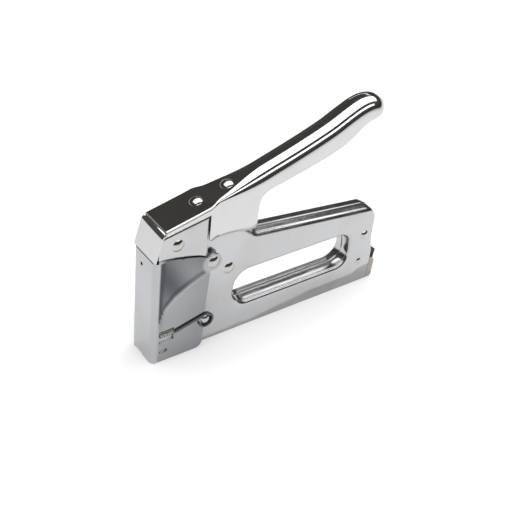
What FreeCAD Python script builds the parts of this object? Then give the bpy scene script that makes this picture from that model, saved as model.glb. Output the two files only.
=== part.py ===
import FreeCAD, Part
import math
import os

# Light-duty all-steel hand tacker (staple gun).
# Millimetres, +Z up.  Outlines are drawn with X = 0 at the front of the nose, X growing towards
# the rear, Y = 0 on the mid-plane and Z = 0 on the face that is pressed on the work.  Every piece
# is then placed half the overall length forward, so the origin is under the middle of the tool.

SIZES = {
    # body
    "body_length": 160.5, "half_overall": 82.658,
    "shell_sheet": 1.0, "rear_half": 7.3, "head_half": 9.7, "head_rear": 34.0,
    "loop_front": 55.0, "loop_rear": 143.0, "loop_front_round": 10.0, "loop_rear_round": 5.5,
    "loop_low": 17.8, "loop_high": 40.6,
    "bar_front": 67.0, "bar_front_top": 65.5, "bar_rear_top": 54.9, "edge_round": 2.4,
    # nose cover and cap
    "cover_half": 11.0, "cover_sheet": 1.2, "cover_top": 69.5, "cover_rear": 33.3, "cover_corner": 3.0,
    "pivot_lug": 5.4, "keeper_lug": 4.6, "cap_sheet": 1.0, "cap_top": 85.2, "cap_lip": 86.9,
    "cap_lip_end": 22.0,
    # squeeze handle
    "pivot_x": 37.1, "pivot_z": 58.7, "pivot_radius": 2.5, "boss_radius": 6.4, "boss_half": 9.7,
    "grip_half": 9.0, "grip_end": 151.5, "tip_round": 8.4, "lip_half": 11.0, "lever_sheet": 1.0,
    "grip_round": 5.6, "bracket_half": 5.0, "bracket_sheet": 1.5, "lever_half": 2.2, "washer_radius": 4.5,
    "washer_bore": 1.9, "washer_thick": 1.2, "pin_half": 5.6, "sleeve_wall": 0.6, "sleeve_half": 5.9,
    "sleeve_gap": 0.65,
    # fasteners
    "dome_radius": 3.7, "dome_height": 1.5, "rivet_radius": 1.8, "hole_gap": 0.05,
    "small_dome_radius": 3.0, "seat_dome_radius": 2.3, "seat_dome_height": 0.9,
    "top_ball": 5.3, "top_dome_height": 1.75, "top_shank": 4.6, "head_stub": 2.2,
    # striker and power spring
    "blade_thick": 1.2, "blade_half": 5.6, "blade_front": 3.0, "striker_top": 62.0,
    "spring_x": 9.3, "spring_mean": 3.8, "spring_wire": 0.6, "spring_turns": 4.5, "spring_end": 83.0,
    "cup_low": 57.4, "cup_rear": 13.9, "cup_half": 4.9, "pilot_radius": 2.6, "pilot_length": 4.0,
    "seat_radius": 4.2, "seat_thick": 1.6,
    # striker guide
    "guide_half": 8.6, "guide_front": 1.35, "guide_back": 2.75, "guide_top": 69.0,
    "block_low": 23.0, "block_top": 46.5, "block_front": 4.5, "block_back": 7.0,
    # magazine
    "track_half": 6.1, "track_high": 13.0, "track_wall": 0.8, "rail_half": 4.5, "rail_high": 10.0,
    "rod_radius": 1.1, "rod_z": 5.4, "feed_mean": 2.1, "feed_wire": 0.25, "feed_turns": 36,
    "rod_front": 10.2, "rod_past_body": 2.4, "stop_radius": 1.9, "stop_thick": 1.2, "eye_radius": 2.4,
    "follower_front": 7.6, "follower_rear": 21.0, "feed_start": 20.4, "feed_length": 137.0,
    # rear latch
    "latch_gap": 0.3, "latch_pin_radius": 0.7, "latch_sheet": 1.0, "catch_sheet": 1.2, "catch_eye": 1.3,
    # keeper springs
    "keeper_wire": 0.7, "keeper_turn": 4.3, "keeper_coil": 2.6, "keeper_bore": 1.6, "keeper_inset": 3.1,
}

doc = FreeCAD.newDocument("hand_tacker")
sheet = doc.addObject("Spreadsheet::Sheet", "sizes")
for row, (alias, value) in enumerate(SIZES.items(), start=1):
    sheet.set("A%d" % row, alias)
    sheet.set("B%d" % row, str(value))
    sheet.setAlias("B%d" % row, alias)
doc.recompute()


def size(alias):
    """A driving dimension, read back from the sheet."""
    return float(sheet.get(alias))


Vector = FreeCAD.Vector
nodes = []


def bind(thing, prop, text):
    """Bind a property to an expression whose words are the sheet's aliases."""
    words = text.replace("(", "( ").replace(")", " )").split()
    thing.setExpression(prop, " ".join("sizes." + w if w[0].isalpha() else w for w in words))


def role_plane(body, role):
    return [item for item in body.Origin.OriginFeatures if item.Role == role][0]


def draw(body, role, outlines, offset="0"):
    """A sketch on one of the body's planes; each outline is a list of (a, b, corner radius)."""
    sketch = body.newObject("Sketcher::SketchObject", body.Name + "_sketch")
    sketch.AttachmentSupport = [(role_plane(body, role), "")]
    sketch.MapMode = "FlatFace"
    bind(sketch, "AttachmentOffset.Base.z", offset)
    for outline in outlines:
        for edge in rounded(outline):
            sketch.addGeometry(edge, False)
    return sketch


def rounded(outline):
    """Straight runs joined by tangent arcs, one arc for each corner that has a radius."""
    ends = []
    count = len(outline)
    for index, (a, b, radius) in enumerate(outline):
        corner = Vector(a, b, 0)
        back = Vector(*outline[index - 1][:2], 0) - corner
        ahead = Vector(*outline[(index + 1) % count][:2], 0) - corner
        if radius == 0:
            ends.append((corner, corner, None))
            continue
        half = back.getAngle(ahead) / 2
        reach = radius / math.tan(half)
        back.normalize()
        ahead.normalize()
        middle = (back + ahead).normalize()
        centre = corner + middle * (radius / math.sin(half))
        ends.append((corner + back * reach, corner + ahead * reach, centre - middle * radius))
    edges = []
    for index, (start, stop, top) in enumerate(ends):
        if top is not None:
            edges.append(Part.Arc(start, top, stop))
        following = ends[(index + 1) % count][0]
        if (following - stop).Length > 1e-6:
            edges.append(Part.LineSegment(stop, following))
    return edges


def ring(a, b, radius):
    """A round outline made of four quarter arcs."""
    return [(a - radius, b - radius, radius), (a + radius, b - radius, radius),
            (a + radius, b + radius, radius), (a - radius, b + radius, radius)]


def pad(body, sketch, length, symmetric=False, reverse=False):
    feature = body.newObject("PartDesign::Pad", body.Name + "_pad")
    feature.Profile = sketch
    bind(feature, "Length", length)
    if symmetric:
        feature.SideType = "Symmetric"
    feature.Reversed = reverse
    body.Tip = feature
    return feature


def pocket(body, sketch, length):
    """A pocket cut both ways from its sketch, which must take material away."""
    doc.recompute()
    before = body.Shape.Volume
    feature = body.newObject("PartDesign::Pocket", body.Name + "_pocket")
    feature.Profile = sketch
    bind(feature, "Length", length)
    feature.SideType = "Symmetric"
    body.Tip = feature
    doc.recompute()
    if body.Shape.Volume > before - 0.01:
        raise RuntimeError("a pocket in %s cuts nothing" % body.Name)
    return feature


def new_body(name):
    return doc.addObject("PartDesign::Body", name)


def slab(name, outlines, half):
    """A body of constant outline, drawn from the side, as thick on both sides of the mid-plane."""
    body = new_body(name)
    pad(body, draw(body, "XZ_Plane", outlines), "2 * (" + half + ")", symmetric=True)
    return body


def side_plate(name, outlines, near, depth):
    """A body drawn from the side that starts at -Y = near and is depth thick, outwards."""
    body = new_body(name)
    pad(body, draw(body, "XZ_Plane", outlines, near), depth)
    return body


def soften(body, radius, wanted):
    """Round the edges that the test wants."""
    doc.recompute()
    names = ["Edge%d" % (index + 1) for index, edge in enumerate(body.Shape.Edges) if wanted(edge)]
    if not names:
        raise RuntimeError("no edge to round on " + body.Name)
    base = body.Tip
    feature = body.newObject("PartDesign::Fillet", body.Name + "_fillet")
    feature.Base = (base, names)
    bind(feature, "Radius", radius)
    body.Tip = feature
    doc.recompute()
    return feature


def on_side(y_place):
    """A test for edges that lie whole in the plane Y = y_place."""
    def test(edge):
        box = edge.BoundBox
        return abs(box.YMin - y_place) < 1e-4 and abs(box.YMax - y_place) < 1e-4
    return test


def cylinder_y(name, x_place, z_place, radius, half):
    """A round bar along Y, centred on the mid-plane."""
    bar = doc.addObject("Part::Cylinder", name)
    bind(bar, "Radius", radius)
    bind(bar, "Height", "2 * (" + half + ")")
    bar.Placement = FreeCAD.Placement(Vector(x_place, 0, z_place), FreeCAD.Rotation(Vector(1, 0, 0), 90))
    bind(bar, "Placement.Base.y", half)
    return bar


def block(name, low, high):
    """A box from its lowest to its highest corner."""
    box = doc.addObject("Part::Box", name)
    box.Placement.Base = Vector(*low)
    box.Length, box.Width, box.Height = [b - a for a, b in zip(low, high)]
    return box


def cut(name, base, *tools):
    for index, tool in enumerate(tools):
        last = index == len(tools) - 1
        result = doc.addObject("Part::Cut", name if last else name + "_step%d" % index)
        result.Base = base
        result.Tool = tool
        base = result
    return base


def fuse(name, *shapes):
    result = doc.addObject("Part::MultiFuse", name)
    result.Shapes = list(shapes)
    return result


def mirrored(name, source):
    result = doc.addObject("Part::Mirroring", name)
    result.Source = source
    result.Normal = Vector(0, 1, 0)
    return result


def keep(piece, label):
    """Name a finished piece and place it in the row's frame."""
    piece.Label = label
    bind(piece, "Placement.Base.x", "%.6f - half_overall" % piece.Placement.Base.x)
    nodes.append(piece)
    return piece


def dome(name, x_place, z_place, face, radius, height, side):
    """A rivet's domed head: a ball cap of the given radius and height standing on Y = side * face."""
    ball_radius = (radius ** 2 + height ** 2) / (2 * height)
    ball = doc.addObject("Part::Sphere", name + "_ball")
    ball.Radius = ball_radius
    ball.Placement.Base = Vector(x_place, side * (face + height - ball_radius), z_place)
    keeper = doc.addObject("Part::Box", name + "_half")
    keeper.Length = keeper.Width = keeper.Height = 4 * ball_radius
    low_y = face if side > 0 else -face - 4 * ball_radius
    keeper.Placement.Base = Vector(x_place - 2 * ball_radius, low_y, z_place - 2 * ball_radius)
    cap = doc.addObject("Part::Common", name)
    cap.Base = ball
    cap.Tool = keeper
    return cap


def through_rivet(label, x_place, z_place, face, radius, shank="rivet_radius"):
    """A rivet right through the body with a domed head on each side."""
    left = dome(label + "_dome_left", x_place, z_place, size(face), radius, size("dome_height"), -1)
    right = dome(label + "_dome_right", x_place, z_place, size(face), radius, size("dome_height"), 1)
    bar = cylinder_y(label + "_shank", x_place, z_place, shank, face)
    return keep(fuse(label + "_all", left, right, bar), label)


# ---- Outlines seen from the side -------------------------------------------------------------

sheet_wall = size("shell_sheet")
body_end = size("body_length")
pivot_x, pivot_z = size("pivot_x"), size("pivot_z")
BELOW = -5.0
ABOVE = 120.0
CLOSE = 0.05
THROUGH = "10"

RIVET_HEAD = (14.5, 76.6)
RIVET_LOOP = (50.4, 47.6)
RIVET_KEEPER = (34.4, 19.6)
RIVET_REAR_TOP = (152.1, 36.2)
RIVET_REAR_LOW = (151.0, 16.3)

rear_outline = [
    (size("head_rear") - 4, 0, 0), (body_end, 0, 0), (body_end, size("bar_rear_top"), 11),
    (size("bar_front"), size("bar_front_top"), 8), (56, 74, 8), (42, 80, 6),
    (size("head_rear") - 4, 82, 0),
]
head_front = size("cover_corner") + 0.1
head_outline = [
    (head_front, 0.8, 0), (size("head_rear"), 0.8, 0), (size("head_rear"), 90.0, 2), (5.6, 84.6, 0),
    (head_front, 76.5, 0),
]


def loop_outline(grow):
    """The finger loop: round at the front, with a leaning rear end."""
    front_round, rear_round = size("loop_front_round") + grow, size("loop_rear_round") + grow
    return [
        (size("loop_front") - grow, size("loop_low") - grow, front_round),
        (size("loop_rear") - 1 + grow, size("loop_low") - grow, rear_round),
        (size("loop_rear") - 3 + grow, size("loop_high") + grow, rear_round),
        (size("loop_front") + 2 - grow, size("loop_high") + grow, front_round),
    ]


# ---- Body shells -----------------------------------------------------------------------------

shell = new_body("shell_outer")
pad(shell, draw(shell, "XZ_Plane", [rear_outline, loop_outline(0)]), "rear_half")
pad(shell, draw(shell, "XZ_Plane", [head_outline]), "head_half")
pad(shell, draw(shell, "XZ_Plane", [ring(pivot_x, pivot_z, size("boss_radius"))]), "boss_half")


def shell_edge(edge):
    """The outer edge of the bar, the rear and the loop, but not the open bottom or the neck."""
    box = edge.BoundBox
    if not on_side(-size("rear_half"))(edge):
        return False
    in_loop = box.XMin > 54 and box.XMax < 143.1 and box.ZMin > 17 and box.ZMax < 41
    on_bar = box.XMin > 60 and box.ZMin > 30 and not in_loop
    return in_loop or (on_bar and box.ZMax < 66)


soften(shell, "edge_round", shell_edge)

core = new_body("shell_core")
hollow = [
    (20, BELOW, 0), (body_end - sheet_wall, BELOW, 0),
    (body_end - sheet_wall, size("bar_rear_top") - sheet_wall, 10),
    (size("bar_front"), size("bar_front_top") - sheet_wall, 8), (64, 69, 0), (64, ABOVE, 0), (20, ABOVE, 0),
]
pad(core, draw(core, "XZ_Plane", [hollow, loop_outline(sheet_wall)]), "rear_half - shell_sheet")
head_core = side_plate("head_core", [[
    (-2, BELOW, 0), (size("head_rear") - sheet_wall, BELOW, 0), (size("head_rear") - sheet_wall, ABOVE, 0),
    (-2, ABOVE, 0)]], "0", "head_half - shell_sheet")


magazine_mouth = block("magazine_mouth", (150, -6.3, BELOW), (170, 6.3, 20.8))
shell_holes = [
    cylinder_y("hole_head", *RIVET_HEAD, "rivet_radius + hole_gap", "cover_half"),
    cylinder_y("hole_loop", *RIVET_LOOP, "rivet_radius + hole_gap", "cover_half"),
    cylinder_y("hole_keeper", *RIVET_KEEPER, "rivet_radius + hole_gap", "cover_half"),
    cylinder_y("hole_rear_top", *RIVET_REAR_TOP, "rivet_radius + hole_gap", "cover_half"),
    cylinder_y("hole_rear_low", *RIVET_REAR_LOW, "rivet_radius + hole_gap", "cover_half"),
    cylinder_y("hole_pivot", pivot_x, pivot_z, "pivot_radius + hole_gap", "cover_half"),
]
WINDOW = [(4.5, 13.4, 0.6), (13.8, 13.4, 0.6), (13.8, 22.4, 0.6), (4.5, 22.4, 0.6)]
shell_window = slab("shell_window", [WINDOW], "cover_half")
shell_left = cut("shell_left", shell, core, head_core, magazine_mouth, shell_window, *shell_holes)
keep(shell_left, "shell_left")
keep(mirrored("shell_right", cut("shell_source", shell, core, head_core, magazine_mouth, shell_window,
                                 *shell_holes)), "shell_right")

# ---- Nose cover ------------------------------------------------------------------------------

cover_outline = [
    (0, 0, 0), (31.8, 0, 3.5), (size("cover_rear"), 14, 0), (size("cover_rear"), 62.5, 0),
    (21.4, 66.6, 12), (10.5, 69.2, 20), (0, size("cover_top"), 0),
]
cover = new_body("cover_outer")
pad(cover, draw(cover, "XZ_Plane", [cover_outline]), "2 * cover_half", symmetric=True)
for lug in (ring(pivot_x, pivot_z, size("pivot_lug")), ring(*RIVET_KEEPER, size("keeper_lug"))):
    pad(cover, draw(cover, "XZ_Plane", [lug]), "2 * cover_half", symmetric=True)


def front_corner(edge):
    box = edge.BoundBox
    return abs(abs(box.YMin) - size("cover_half")) < 1e-4 and box.YLength < 1e-4 and box.XMax < 1e-4


soften(cover, "cover_corner", front_corner)
pocket(cover, draw(cover, "XZ_Plane", [WINDOW]), "4 * cover_half")
SLOT = [(4.7, 6.2, 1.1), (9.9, 6.2, 1.1), (9.9, 8.6, 1.1), (4.7, 8.6, 1.1)]
pocket(cover, draw(cover, "XZ_Plane", [SLOT]), "4 * cover_half")
STRIP_HOLE = (2.4, 62.2, 1.1)
pocket(cover, draw(cover, "YZ_Plane", [ring(*STRIP_HOLE)]), "2 * cover_corner")
cover_core = new_body("cover_core")
pad(cover_core, draw(cover_core, "XZ_Plane", [[
    (size("cover_sheet"), BELOW, 0), (60, BELOW, 0), (60, ABOVE, 0), (size("cover_sheet"), ABOVE, 0)]]),
    "2 * (cover_half - cover_sheet)", symmetric=True)


def core_front(edge):
    box = edge.BoundBox
    return box.YLength < 1e-4 and box.XMax < size("cover_sheet") + 1e-4 and box.ZLength > 50


soften(cover_core, "cover_corner - cover_sheet", core_front)
keep(cut("nose_cover", cover, cover_core, shell_holes[5], shell_holes[2]), "nose_cover")

# ---- Front cap: slanted face, bent back under the handle's plate ------------------------------

PLATE_FRONT = (6.3, 88.3)
PLATE_REAR = (30.0, 94.0)
slope = (PLATE_REAR[1] - PLATE_FRONT[1]) / (PLATE_REAR[0] - PLATE_FRONT[0])
CAP_LOW = 70.2
lip_start = 5.9
lip_end, lip_top = size("cap_lip_end"), size("cap_lip")
lip_under = lip_top - size("cap_sheet")
lip_rise = (lip_end - lip_start) * slope
cap_face = [
    (0, CAP_LOW, 0), (3.9, size("cap_top"), 2), (lip_start, lip_top, 1.5), (lip_end, lip_top + lip_rise, 0),
    (lip_end, lip_under + lip_rise, 0), (6.3, lip_under, 0.8), (4.9, 84.7, 1), (0.85, CAP_LOW, 0),
]
cap_wide = slab("cap_wide", [cap_face], "cover_half")
cap_trim = slab("cap_trim", [[(5.6, 80, 0), (40, 80, 0), (40, 110, 0), (5.6, 110, 0)]], "cover_half")
cap_trim_core = slab("cap_trim_core", [[(5, 79, 0), (41, 79, 0), (41, 111, 0), (5, 111, 0)]], "head_half")
keep(cut("front_cap", cap_wide, cut("cap_trim_sides", cap_trim, cap_trim_core)), "front_cap")

# ---- Squeeze handle --------------------------------------------------------------------------

grip_end = size("grip_end")
handle_top = [
    (*PLATE_REAR, 0), (50, 99.4, 120), (75, 107.4, 150), (101, 116.4, 120), (127, 127.6, 60),
    (138.5, 132.3, 16), (148.2, 131.2, 8), (grip_end, 120.0, 0),
]
cheek_front = size("head_rear") + 0.6
handle_low = [
    (137, 120.0, 9), (124.4, 110.2, 30), (111, 104.4, 60), (84.6, 97.2, 200),
    (65.5, 92.4, 9), (65.5, 70.6, 3), (50, 73.0, 20), (cheek_front, 73.6, 1.5),
    (cheek_front, 91.5, 0.5), (PLATE_REAR[0], 91.5, 0),
]
handle_solid = slab("handle_solid", [handle_top + handle_low], "grip_half")


def handle_edge(edge):
    """The long top edges of the grip and the edges round its closed end."""
    box = edge.BoundBox
    flat = abs(abs(box.YMin) - size("grip_half")) < 1e-4 and box.YLength < 1e-4
    if not flat:
        return False
    middle = (box.XMin + box.XMax) / 2
    return box.ZMin > 93.9 + (middle - PLATE_REAR[0]) * slope - 1.0 and box.ZMax > 95


soften(handle_solid, "grip_round", handle_edge)

wall = size("lever_sheet")
BRACKET_FRONT, BRACKET_REAR = 25.0, 57.0
front_drop = (PLATE_REAR[0] - BRACKET_FRONT) * slope
core_top = [
    (BRACKET_FRONT, PLATE_REAR[1] - wall - front_drop, 0), (50, 98.35, 120), (75, 106.35, 150),
    (101, 115.3, 120), (126.6, 126.5, 60),
    (138.1, 131.2, 15), (147.1, 130.2, 7), (grip_end - 0.2, 117.0, 0),
]
core_low = [(137.5, 112, 0), (124.4, 100, 0), (66, 60, 0), (BRACKET_FRONT, 60, 0)]
handle_core = slab("handle_core", [core_top + core_low], "grip_half - lever_sheet")


def handle_core_edge(edge):
    box = edge.BoundBox
    half = size("grip_half") - wall
    flat = abs(abs(box.YMin) - half) < 1e-4 and box.YLength < 1e-4
    middle = (box.XMin + box.XMax) / 2
    return flat and box.ZMin > 92.5 + (middle - PLATE_REAR[0]) * slope - 1.0 and box.ZMax > 93


soften(handle_core, "grip_round - lever_sheet", handle_core_edge)


def round_ended(name, solid, shrink):
    """The grip trimmed in plan, so that its rear end is nearly half round."""
    half = size("grip_half") - shrink
    body = new_body(name + "_plan")
    pad(body, draw(body, "XY_Plane", [[
        (0, -half, 0), (grip_end - shrink, -half, size("tip_round") - shrink),
        (grip_end - shrink, half, size("tip_round") - shrink), (0, half, 0)]]), str(ABOVE + 20))
    trimmed = doc.addObject("Part::Common", name)
    trimmed.Base = solid
    trimmed.Tool = body
    return trimmed


grip = cut("grip_channel", round_ended("grip_outer", handle_solid, 0),
           round_ended("grip_inner", handle_core, wall))
PLATE_END = 35.6
plate_outline = [
    (*PLATE_FRONT, 0.6), (PLATE_END, 95.35, 0), (PLATE_END, 90.6, 0), (33.0, 90.2, 2), (20, 88.3, 12),
    (7.4, 86.3, 0),
]
front_plate = slab("front_plate", [plate_outline], "lip_half")
plate_core = slab("plate_core", [[
    (5, 80, 0), (40, 80, 0), (40, 96.4 - wall, 0), (5, 88.0 - wall, 0)]], "lip_half - lever_sheet")
plate = cut("plate_channel", front_plate, plate_core)


SEAT_GAP = 0.15
# Each rivet on the handle: its place, the height of the sheet's top there and the sheet's slope.
TOP_RIVETS = ((31.1, 94.30, 0.270), (50.1, 99.46, 0.295))
hole_height, hole_depth = 12.0, 8.0
top_holes = []
for index, (x_place, sheet_top, sheet_slope) in enumerate(TOP_RIVETS):
    hole = doc.addObject("Part::Cylinder", "top_hole%d" % index)
    bind(hole, "Radius", "rivet_radius + hole_gap")
    hole.Height = hole_height
    hole.Placement.Base = Vector(x_place, 0, sheet_top - hole_depth)
    top_holes.append(hole)
keep(cut("handle", fuse("handle_whole", grip, plate), *top_holes), "handle")

# ---- Lever bracket, lifting lever and their fasteners -----------------------------------------

bracket_front_top = 93.2 - wall - front_drop
bracket_rear_top = 100.1 - wall
BRACKET_WEB = 1.6
bracket_outline = [
    (BRACKET_FRONT, bracket_front_top - CLOSE, 0), (BRACKET_REAR, bracket_rear_top - CLOSE, 0),
    (BRACKET_REAR, 96.6, 0), (45.5, 62, 0), (43.6, 52.2, 6.4), (30.6, 52.2, 6.4), (28.5, 66, 0),
    (BRACKET_FRONT, 88, 0),
]
bracket = slab("bracket_solid", [bracket_outline], "bracket_half")
bracket_gap = slab("bracket_gap", [[
    (20, 40, 0), (70, 40, 0), (70, bracket_rear_top - BRACKET_WEB, 0),
    (BRACKET_REAR, bracket_rear_top - BRACKET_WEB, 0), (BRACKET_FRONT, bracket_front_top - BRACKET_WEB, 0),
    (20, 90, 0)]], "bracket_half - bracket_sheet")
pivot_hole = cylinder_y("lever_pivot_hole", pivot_x, pivot_z, "pivot_radius + sleeve_gap", THROUGH)
LEVER_PIN = (39.5, 74.5)
lever_pin_hole = cylinder_y("lever_pin_hole", *LEVER_PIN, "rivet_radius + hole_gap", THROUGH)
keep(cut("lever_bracket", bracket, bracket_gap, *top_holes, pivot_hole, lever_pin_hole), "lever_bracket")

lever_outline = [
    (2.5, 51.0, 0), (2.5, 53.2, 0), (14, 55.2, 10), (27, 63, 8), (33, 80, 4), (46, 80, 4), (44.6, 60, 8),
    (40, 51.6, 7), (27, 52.2, 8), (14, 50.0, 12),
]
lever = slab("lever_solid", [lever_outline], "lever_half")
keep(cut("lift_lever", lever, pivot_hole, lever_pin_hole), "lift_lever")

washers = []
for side in (-1, 1):
    rims = [ring(*LEVER_PIN, size("washer_radius")), ring(*LEVER_PIN, size("washer_bore"))]
    near = "lever_half + hole_gap" if side < 0 else "0 - lever_half - hole_gap - washer_thick"
    washers.append(side_plate("lever_washer%d" % (side + 1), rims, near, "washer_thick"))
keep(fuse("lever_spacers_all", *washers), "lever_spacers")
keep(cylinder_y("lever_pin", *LEVER_PIN, "rivet_radius", "pin_half"), "lever_pin")

sleeve = cylinder_y("sleeve_bar", pivot_x, pivot_z, "pivot_radius + sleeve_wall", "sleeve_half")
sleeve_bore = cylinder_y("sleeve_bore", pivot_x, pivot_z, "pivot_radius + hole_gap", THROUGH)
keep(cut("pivot_sleeve", sleeve, sleeve_bore), "pivot_sleeve")

shank_below = 3.9
reach = 8.0
top_rivet_parts = []
for index, (x_place, sheet_top, sheet_slope) in enumerate(TOP_RIVETS):
    shank = doc.addObject("Part::Cylinder", "top_shank%d" % index)
    bind(shank, "Radius", "rivet_radius")
    bind(shank, "Height", "top_shank")
    shank.Placement.Base = Vector(x_place, 0, sheet_top - shank_below)
    ball_radius = size("top_ball")
    ball = doc.addObject("Part::Sphere", "top_ball%d" % index)
    ball.Radius = ball_radius
    ball.Placement.Base = Vector(x_place, 0, sheet_top + size("top_dome_height") - ball_radius)
    half_space = block("top_half%d" % index, (x_place - reach, -reach, 0), (x_place + reach, reach, reach))
    tilt = FreeCAD.Rotation(Vector(0, 1, 0), -math.degrees(math.atan(sheet_slope)))
    half_space.Placement = FreeCAD.Placement(
        Vector(x_place, 0, sheet_top + SEAT_GAP) + tilt.multVec(Vector(-reach, -reach, 0)), tilt)
    head = doc.addObject("Part::Common", "top_dome%d" % index)
    head.Base = ball
    head.Tool = half_space
    top_rivet_parts.append(fuse("top_rivet%d" % index, head, shank))
keep(fuse("handle_rivets_all", *top_rivet_parts), "handle_rivets")

# ---- Striker and power spring ----------------------------------------------------------------

blade_front = size("blade_front")
blade_back = blade_front + size("blade_thick")
striker = slab("striker_solid", [[
    (blade_front, 1.0, 0), (blade_back, 1.0, 0), (blade_back, size("striker_top"), 0),
    (blade_front, size("striker_top"), 0)]], "blade_half")
# The lifting lever's nose works in this slot.
striker_slot = slab("striker_slot", [[(0, 50.0, 0), (9, 50.0, 0), (9, 54.4, 0), (0, 54.4, 0)]], "2.6")
keep(cut("striker_blade", striker, striker_slot), "striker_blade")

cup = slab("cup_solid", [[
    (blade_back + CLOSE, size("cup_low"), 0), (size("cup_rear"), size("cup_low"), 0.6),
    (size("cup_rear"), size("striker_top"), 0.6), (blade_back + CLOSE, size("striker_top"), 0)]], "cup_half")
pilot = doc.addObject("Part::Cylinder", "cup_pilot")
bind(pilot, "Radius", "pilot_radius")
bind(pilot, "Height", "pilot_length")
pilot.Placement.Base = Vector(size("spring_x"), 0, size("striker_top") - 0.5)
keep(fuse("striker_head_all", cup, pilot), "striker_head")

seat = doc.addObject("Part::Cylinder", "seat_disc")
bind(seat, "Radius", "seat_radius")
bind(seat, "Height", "seat_thick")
seat.Placement.Base = Vector(size("spring_x") + 0.2, 0, size("spring_end") + CLOSE)
seat_pilot = doc.addObject("Part::Cylinder", "seat_pilot")
bind(seat_pilot, "Radius", "pilot_radius")
bind(seat_pilot, "Height", "pilot_length")
seat_pilot.Placement.Base = Vector(size("spring_x"), 0, size("spring_end") + 1.1 - size("pilot_length"))
keep(fuse("spring_seat_all", seat, seat_pilot), "spring_seat")


def coil(label, x_place, z_place, mean, wire, turns, length, along_x):
    """A helical compression spring: a round wire swept along a helix."""
    helix = doc.addObject("Part::Helix", label + "_line")
    bind(helix, "Radius", mean)
    helix.Height = length
    bind(helix, "Pitch", "%s / %s" % (length, turns))
    circle = doc.addObject("Part::Circle", label + "_wire")
    bind(circle, "Radius", wire)
    circle.Placement = FreeCAD.Placement(Vector(size(mean), 0, 0), FreeCAD.Rotation(Vector(1, 0, 0), 90))
    sweep = doc.addObject("Part::Sweep", label + "_sweep")
    sweep.Sections = [circle]
    sweep.Spine = helix
    sweep.Solid = True
    sweep.Frenet = True
    turn = FreeCAD.Rotation(Vector(0, 1, 0), 90) if along_x else FreeCAD.Rotation()
    sweep.Placement = FreeCAD.Placement(Vector(x_place, 0, z_place), turn)
    return keep(sweep, label)


spring_low = size("striker_top") + size("spring_wire") + CLOSE
spring_high = size("spring_end") - size("spring_wire") - CLOSE
coil("power_spring", size("spring_x"), spring_low, "spring_mean", "spring_wire", "spring_turns",
     spring_high - spring_low, False)

# ---- Striker guide ---------------------------------------------------------------------------

guide_front, guide_back = size("guide_front"), size("guide_back")
guide = slab("guide_solid", [[
    (guide_front, 1.0, 0), (guide_back, 1.0, 0), (guide_back, size("guide_top"), 0),
    (guide_front, size("guide_top"), 0)]], "guide_half")
guide_slot = slab("guide_slot", [[(0, 47.0, 0), (4, 47.0, 0), (4, 75.0, 0), (0, 75.0, 0)]], "2.8")
keep(cut("guide_plate", guide, guide_slot), "guide_plate")
block_low, block_top = size("block_low"), size("block_top")
block_front, block_back = size("block_front"), size("block_back")
side_front = guide_back + CLOSE
back = slab("back_solid", [[
    (block_front, block_low, 0), (block_back, block_low, 0), (block_back, block_top, 0.8),
    (block_front, block_top, 0)]], "guide_half")
side_low = slab("side_rail_solid", [[
    (side_front, block_low, 0), (block_front, block_low, 0), (block_front, block_top, 0),
    (side_front, block_top, 0)]], "guide_half")
side_gap = slab("side_rail_gap", [[
    (2, 13, 0), (block_front, 13, 0), (block_front, 48, 0), (2, 48, 0)]], "blade_half + 0.3")
keep(cut("guide_block", fuse("guide_both", back, side_low), side_gap), "guide_block")

# ---- Rivets and pins -------------------------------------------------------------------------

dome_radius = size("dome_radius")
through_rivet("pivot_pin", pivot_x, pivot_z, "cover_half", dome_radius, "pivot_radius")
through_rivet("loop_rivet", *RIVET_LOOP, "rear_half", dome_radius)
through_rivet("keeper_rivet", *RIVET_KEEPER, "cover_half", size("small_dome_radius"))
through_rivet("rear_rivet_upper", *RIVET_REAR_TOP, "rear_half", size("small_dome_radius"))
seat_dome = (size("rear_half"), size("seat_dome_radius"), size("seat_dome_height"))
low_left = dome("low_left", *RIVET_REAR_LOW, *seat_dome, -1)
low_right = dome("low_right", *RIVET_REAR_LOW, *seat_dome, 1)
low_bar = cylinder_y("low_bar", *RIVET_REAR_LOW, "rivet_radius", "rear_half")
keep(fuse("rear_rivet_lower_all", low_left, low_right, low_bar), "rear_rivet_lower")
head_parts = []
for side in (-1, 1):
    head_dome = dome("head_dome%d" % (side + 1), *RIVET_HEAD, size("head_half"), dome_radius,
                     size("dome_height"), side)
    stub = doc.addObject("Part::Cylinder", "head_stub%d" % (side + 1))
    bind(stub, "Radius", "rivet_radius")
    bind(stub, "Height", "head_stub")
    start = -size("head_half") + size("head_stub") if side < 0 else size("head_half")
    stub.Placement = FreeCAD.Placement(Vector(RIVET_HEAD[0], start, RIVET_HEAD[1]),
                                       FreeCAD.Rotation(Vector(1, 0, 0), 90))
    head_parts.append(fuse("head_rivet%d" % (side + 1), head_dome, stub))
keep(fuse("head_rivets_all", *head_parts), "head_rivets")

# ---- Keeper springs: a coil in the window and a long hook round the keeper rivet ---------------

wire, inset = size("keeper_wire"), size("keeper_inset")
turn_radius = size("keeper_turn")
COIL_FRONT, COIL_LENGTH, COIL_HIGH = 5.2, 8.0, 18.4
ARM_START = (13.4, 19.4)
HALF_WRAP, WHOLE_WRAP = 2.4, 4.8


def on_turn(centre, angle):
    """A point of the hook's turn round the keeper rivet."""
    return centre + Vector(math.cos(angle), 0, math.sin(angle)) * turn_radius


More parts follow.
